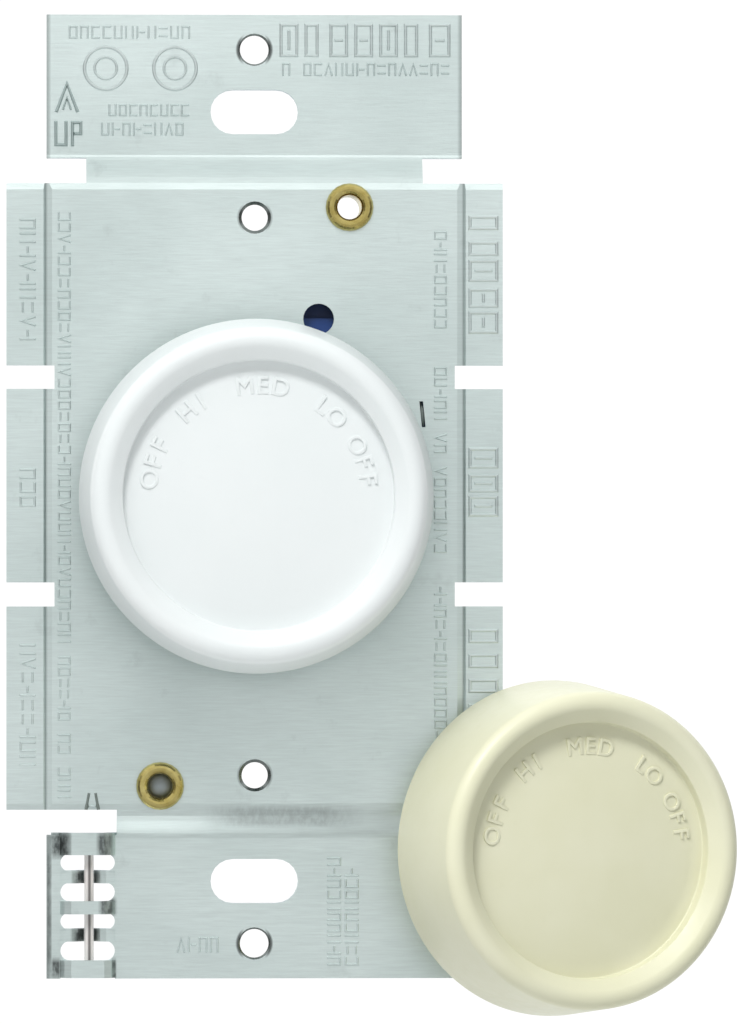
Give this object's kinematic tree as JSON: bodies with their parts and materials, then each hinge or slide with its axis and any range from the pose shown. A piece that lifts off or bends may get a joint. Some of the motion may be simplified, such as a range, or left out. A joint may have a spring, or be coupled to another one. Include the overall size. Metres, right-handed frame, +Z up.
{
  "type": "rotary wall dimmer",
  "caption": "Rotary wall dimmer: stepped aluminium mounting plate with snap-off fins, insulated housing behind it, a dished push-on knob in front and a spare ivory knob.",
  "frame": {"origin": "on the shaft's axis, in the plane of the two straps' back faces, which lie on the wall box", "axes": "+X to the right and +Z up as the user sees it on the wall, +Y into the wall box, so the knob points along -Y"},
  "size_m": [0.079, 0.0482, 0.1085],
  "materials": {
    "aluminium": "rolled sheet, fine horizontal grain",
    "brass": "bright drawn",
    "steel": "zinc plated",
    "copper": "bare or enamelled copper",
    "blue_plastic": "moulded, satin",
    "white_plastic": "moulded, semi-gloss",
    "ivory_plastic": "moulded, semi-gloss",
    "black_plastic": "moulded, satin",
    "board": "resin-bonded paper laminate",
    "phenolic": "phenolic",
    "carbon": "printed carbon ink",
    "ferrite": "coated powdered iron",
    "yellow_film": "dipped resin",
    "mica": "clear laminate"
  },
  "bodies": {
    "device": {"heat_sink_plate": "aluminium", "ground_wire_end": "copper", "housing_front": "blue_plastic", "housing_back": "blue_plastic", "eyelet_upper": "brass", "eyelet_lower": "brass", "pot_bushing": "brass", "bushing_washer": "steel", "bushing_nut": "steel", "pot_case": "steel", "track_wafer": "phenolic", "resistive_track": "carbon", "switch_case": "black_plastic", "lever_pivot_pin": "steel", "fixed_contact": "brass", "lever_return_spring": "steel", "circuit_board": "board", "triac_insulator": "mica", "triac_tab": "copper", "triac_body": "black_plastic", "triac_rivet": "aluminium", "triac_lead_1": "steel", "triac_lead_2": "steel", "triac_lead_3": "steel", "choke_core": "ferrite", "choke_winding": "copper", "filter_capacitor": "yellow_film", "timing_capacitor": "yellow_film", "resistor": "phenolic", "diac": "black_plastic", "line_terminal": "brass", "load_terminal": "brass"},
    "rotor": {"shaft": "white_plastic", "retaining_ring": "steel", "wiper_carrier": "black_plastic", "wiper_contact": "brass", "switch_cam": "white_plastic"},
    "control_knob": {"knob": "white_plastic", "knob_spring_clip": "steel"},
    "switch_lever": {"contact_lever": "brass", "moving_contact": "steel"},
    "loose_knob": {"spare_knob": "ivory_plastic", "spare_knob_spring_clip": "steel"}
  },
  "joints": [
    {"name": "knob_turn", "type": "hinge", "parent": "device", "child": "rotor", "pos_m": [0, 0, 0], "axis": [0, -1, 0], "range_deg": [-72, 72]},
    {"name": "knob_pull", "type": "slide", "parent": "rotor", "child": "control_knob", "axis": [0, -1, 0], "range_m": [0, 0.012]},
    {"name": "lever_rock", "type": "hinge", "parent": "device", "child": "switch_lever", "pos_m": [-0.0082, 0.0122, 0.0076], "axis": [0, -1, 0], "range_deg": [0, 6], "stiffness_Nm_per_rad": 0.001, "springref_deg": -17.19, "deforming": ["lever_return_spring"]},
    {"name": "spare_knob_lift", "type": "slide", "parent": "device", "child": "loose_knob", "axis": [0.3502, -0.9367, 0], "range_m": [0, 0.04]}
  ]
}
